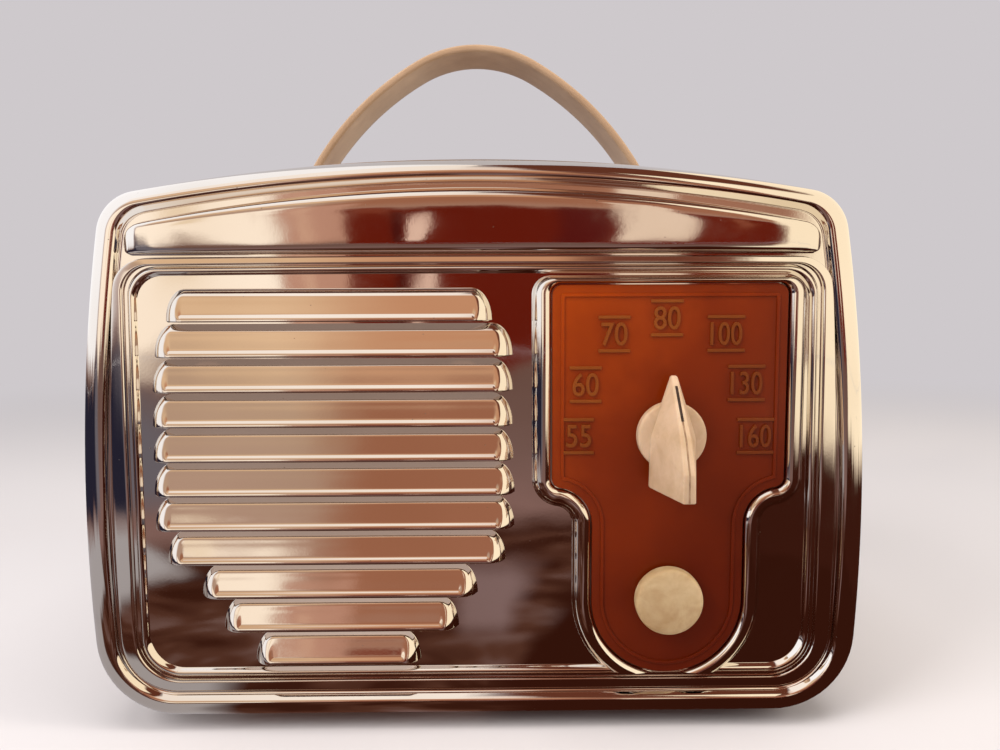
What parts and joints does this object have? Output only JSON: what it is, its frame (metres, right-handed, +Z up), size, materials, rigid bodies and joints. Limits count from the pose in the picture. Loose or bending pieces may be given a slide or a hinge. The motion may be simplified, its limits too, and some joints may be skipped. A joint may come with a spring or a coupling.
{
  "type": "tube radio",
  "caption": "Small chrome-cased tube radio with a louvred grille, amber dial plate, pointer tuning knob, volume knob and strap handle.",
  "frame": {"origin": "centre of the bounding box at the table, under the four feet", "axes": "+Z up, the front with dial and knobs faces -Y, +X to the right seen from the front"},
  "size_m": [0.2042, 0.139, 0.1903],
  "materials": {
    "chrome_shell": "polished chrome plate on drawn steel, with fine pitting and haze",
    "rubber": "black rubber",
    "strap": "tan strap, smooth, darker along its edges",
    "zinc_steel": "zinc plated steel",
    "nickel": "nickel plated steel",
    "fibreboard": "brown pressed fibreboard",
    "amber_plate": "amber brown translucent plastic, glossy",
    "cream_knob": "aged cream plastic, semi-gloss",
    "lamp_glass": "clear lamp glass",
    "brass": "dull brass",
    "plates_alu": "plain aluminium sheet",
    "cadmium_steel": "dull plated steel",
    "phenolic": "brown phenolic sheet",
    "dark_plastic": "dark brown moulded plastic",
    "grille_cloth": "dark woven cloth",
    "black_paint": "black paint, satin",
    "cone_paper": "dark pressed paper",
    "coil_wire": "enamelled copper wire",
    "surround_paper": "soft corrugated paper",
    "spider_cloth": "treated corrugated cloth",
    "iron_core": "dark stacked iron",
    "chassis_steel": "plated chassis steel",
    "tube_glass": "clear tube glass",
    "element_metal": "dark carbonised nickel",
    "wax_card": "waxed cardboard",
    "waxed_paper": "waxed paper tube",
    "resistor_body": "brown moulded body",
    "wire_cloth": "cloth covered wire"
  },
  "bodies": {
    "radio": {"cabinet": "chrome_shell", "foot_front_left": "rubber", "foot_front_right": "rubber", "foot_rear_left": "rubber", "foot_rear_right": "rubber", "handle": "strap", "handle_anchor_left": "zinc_steel", "handle_anchor_right": "zinc_steel", "handle_rivets": "brass", "back_cover": "fibreboard", "back_screws": "nickel", "cord_grommet": "rubber", "dial_plate": "amber_plate", "dial_push_nuts": "zinc_steel", "dial_lamp": "lamp_glass", "lamp_socket": "brass", "gang_frame": "cadmium_steel", "stator_plates": "plates_alu", "gang_insulators": "phenolic", "gang_grommets": "rubber", "gang_screws": "nickel", "volume_control_case": "cadmium_steel", "volume_nut": "nickel", "power_switch": "dark_plastic", "speaker_baffle": "fibreboard", "baffle_nuts": "nickel", "grille_cloth": "grille_cloth", "speaker_basket": "black_paint", "speaker_magnet": "iron_core", "speaker_surround": "surround_paper", "speaker_spider": "spider_cloth", "speaker_screws": "nickel", "output_transformer": "iron_core", "chassis": "chassis_steel", "chassis_screws": "nickel", "tube_sockets": "phenolic", "rectifier_base": "dark_plastic", "rectifier_glass": "tube_glass", "output_tube_base": "dark_plastic", "output_tube_glass": "tube_glass", "detector_base": "dark_plastic", "detector_glass": "tube_glass", "amplifier_base": "dark_plastic", "amplifier_glass": "tube_glass", "tube_elements": "element_metal", "filter_capacitor": "wax_card", "antenna_coil": "coil_wire", "detector_coil": "coil_wire", "paper_capacitors": "waxed_paper", "resistors": "resistor_body", "terminal_strip": "phenolic", "hookup_wires": "wire_cloth"},
    "tuning": {"tuning_knob": "cream_knob", "tuning_set_screw": "nickel", "tuning_shaft": "brass", "rotor_plates": "plates_alu"},
    "volume": {"volume_knob": "cream_knob", "volume_shaft": "brass"},
    "cone": {"speaker_cone": "cone_paper", "voice_coil": "coil_wire"}
  },
  "joints": [
    {"name": "tuning_turn", "type": "hinge", "parent": "radio", "child": "tuning", "pos_m": [0.0495, -0.0455, 0.079], "axis": [0, 1, 0], "range_deg": [-90, 90]},
    {"name": "volume_turn", "type": "hinge", "parent": "radio", "child": "volume", "pos_m": [0.0495, -0.0455, 0.0362], "axis": [0, 1, 0], "range_deg": [0, 300]},
    {"name": "cone_slide", "type": "slide", "parent": "radio", "child": "cone", "axis": [0, 1, 0], "range_m": [-0.0008, 0.0008], "stiffness_N_per_m": 1500}
  ]
}
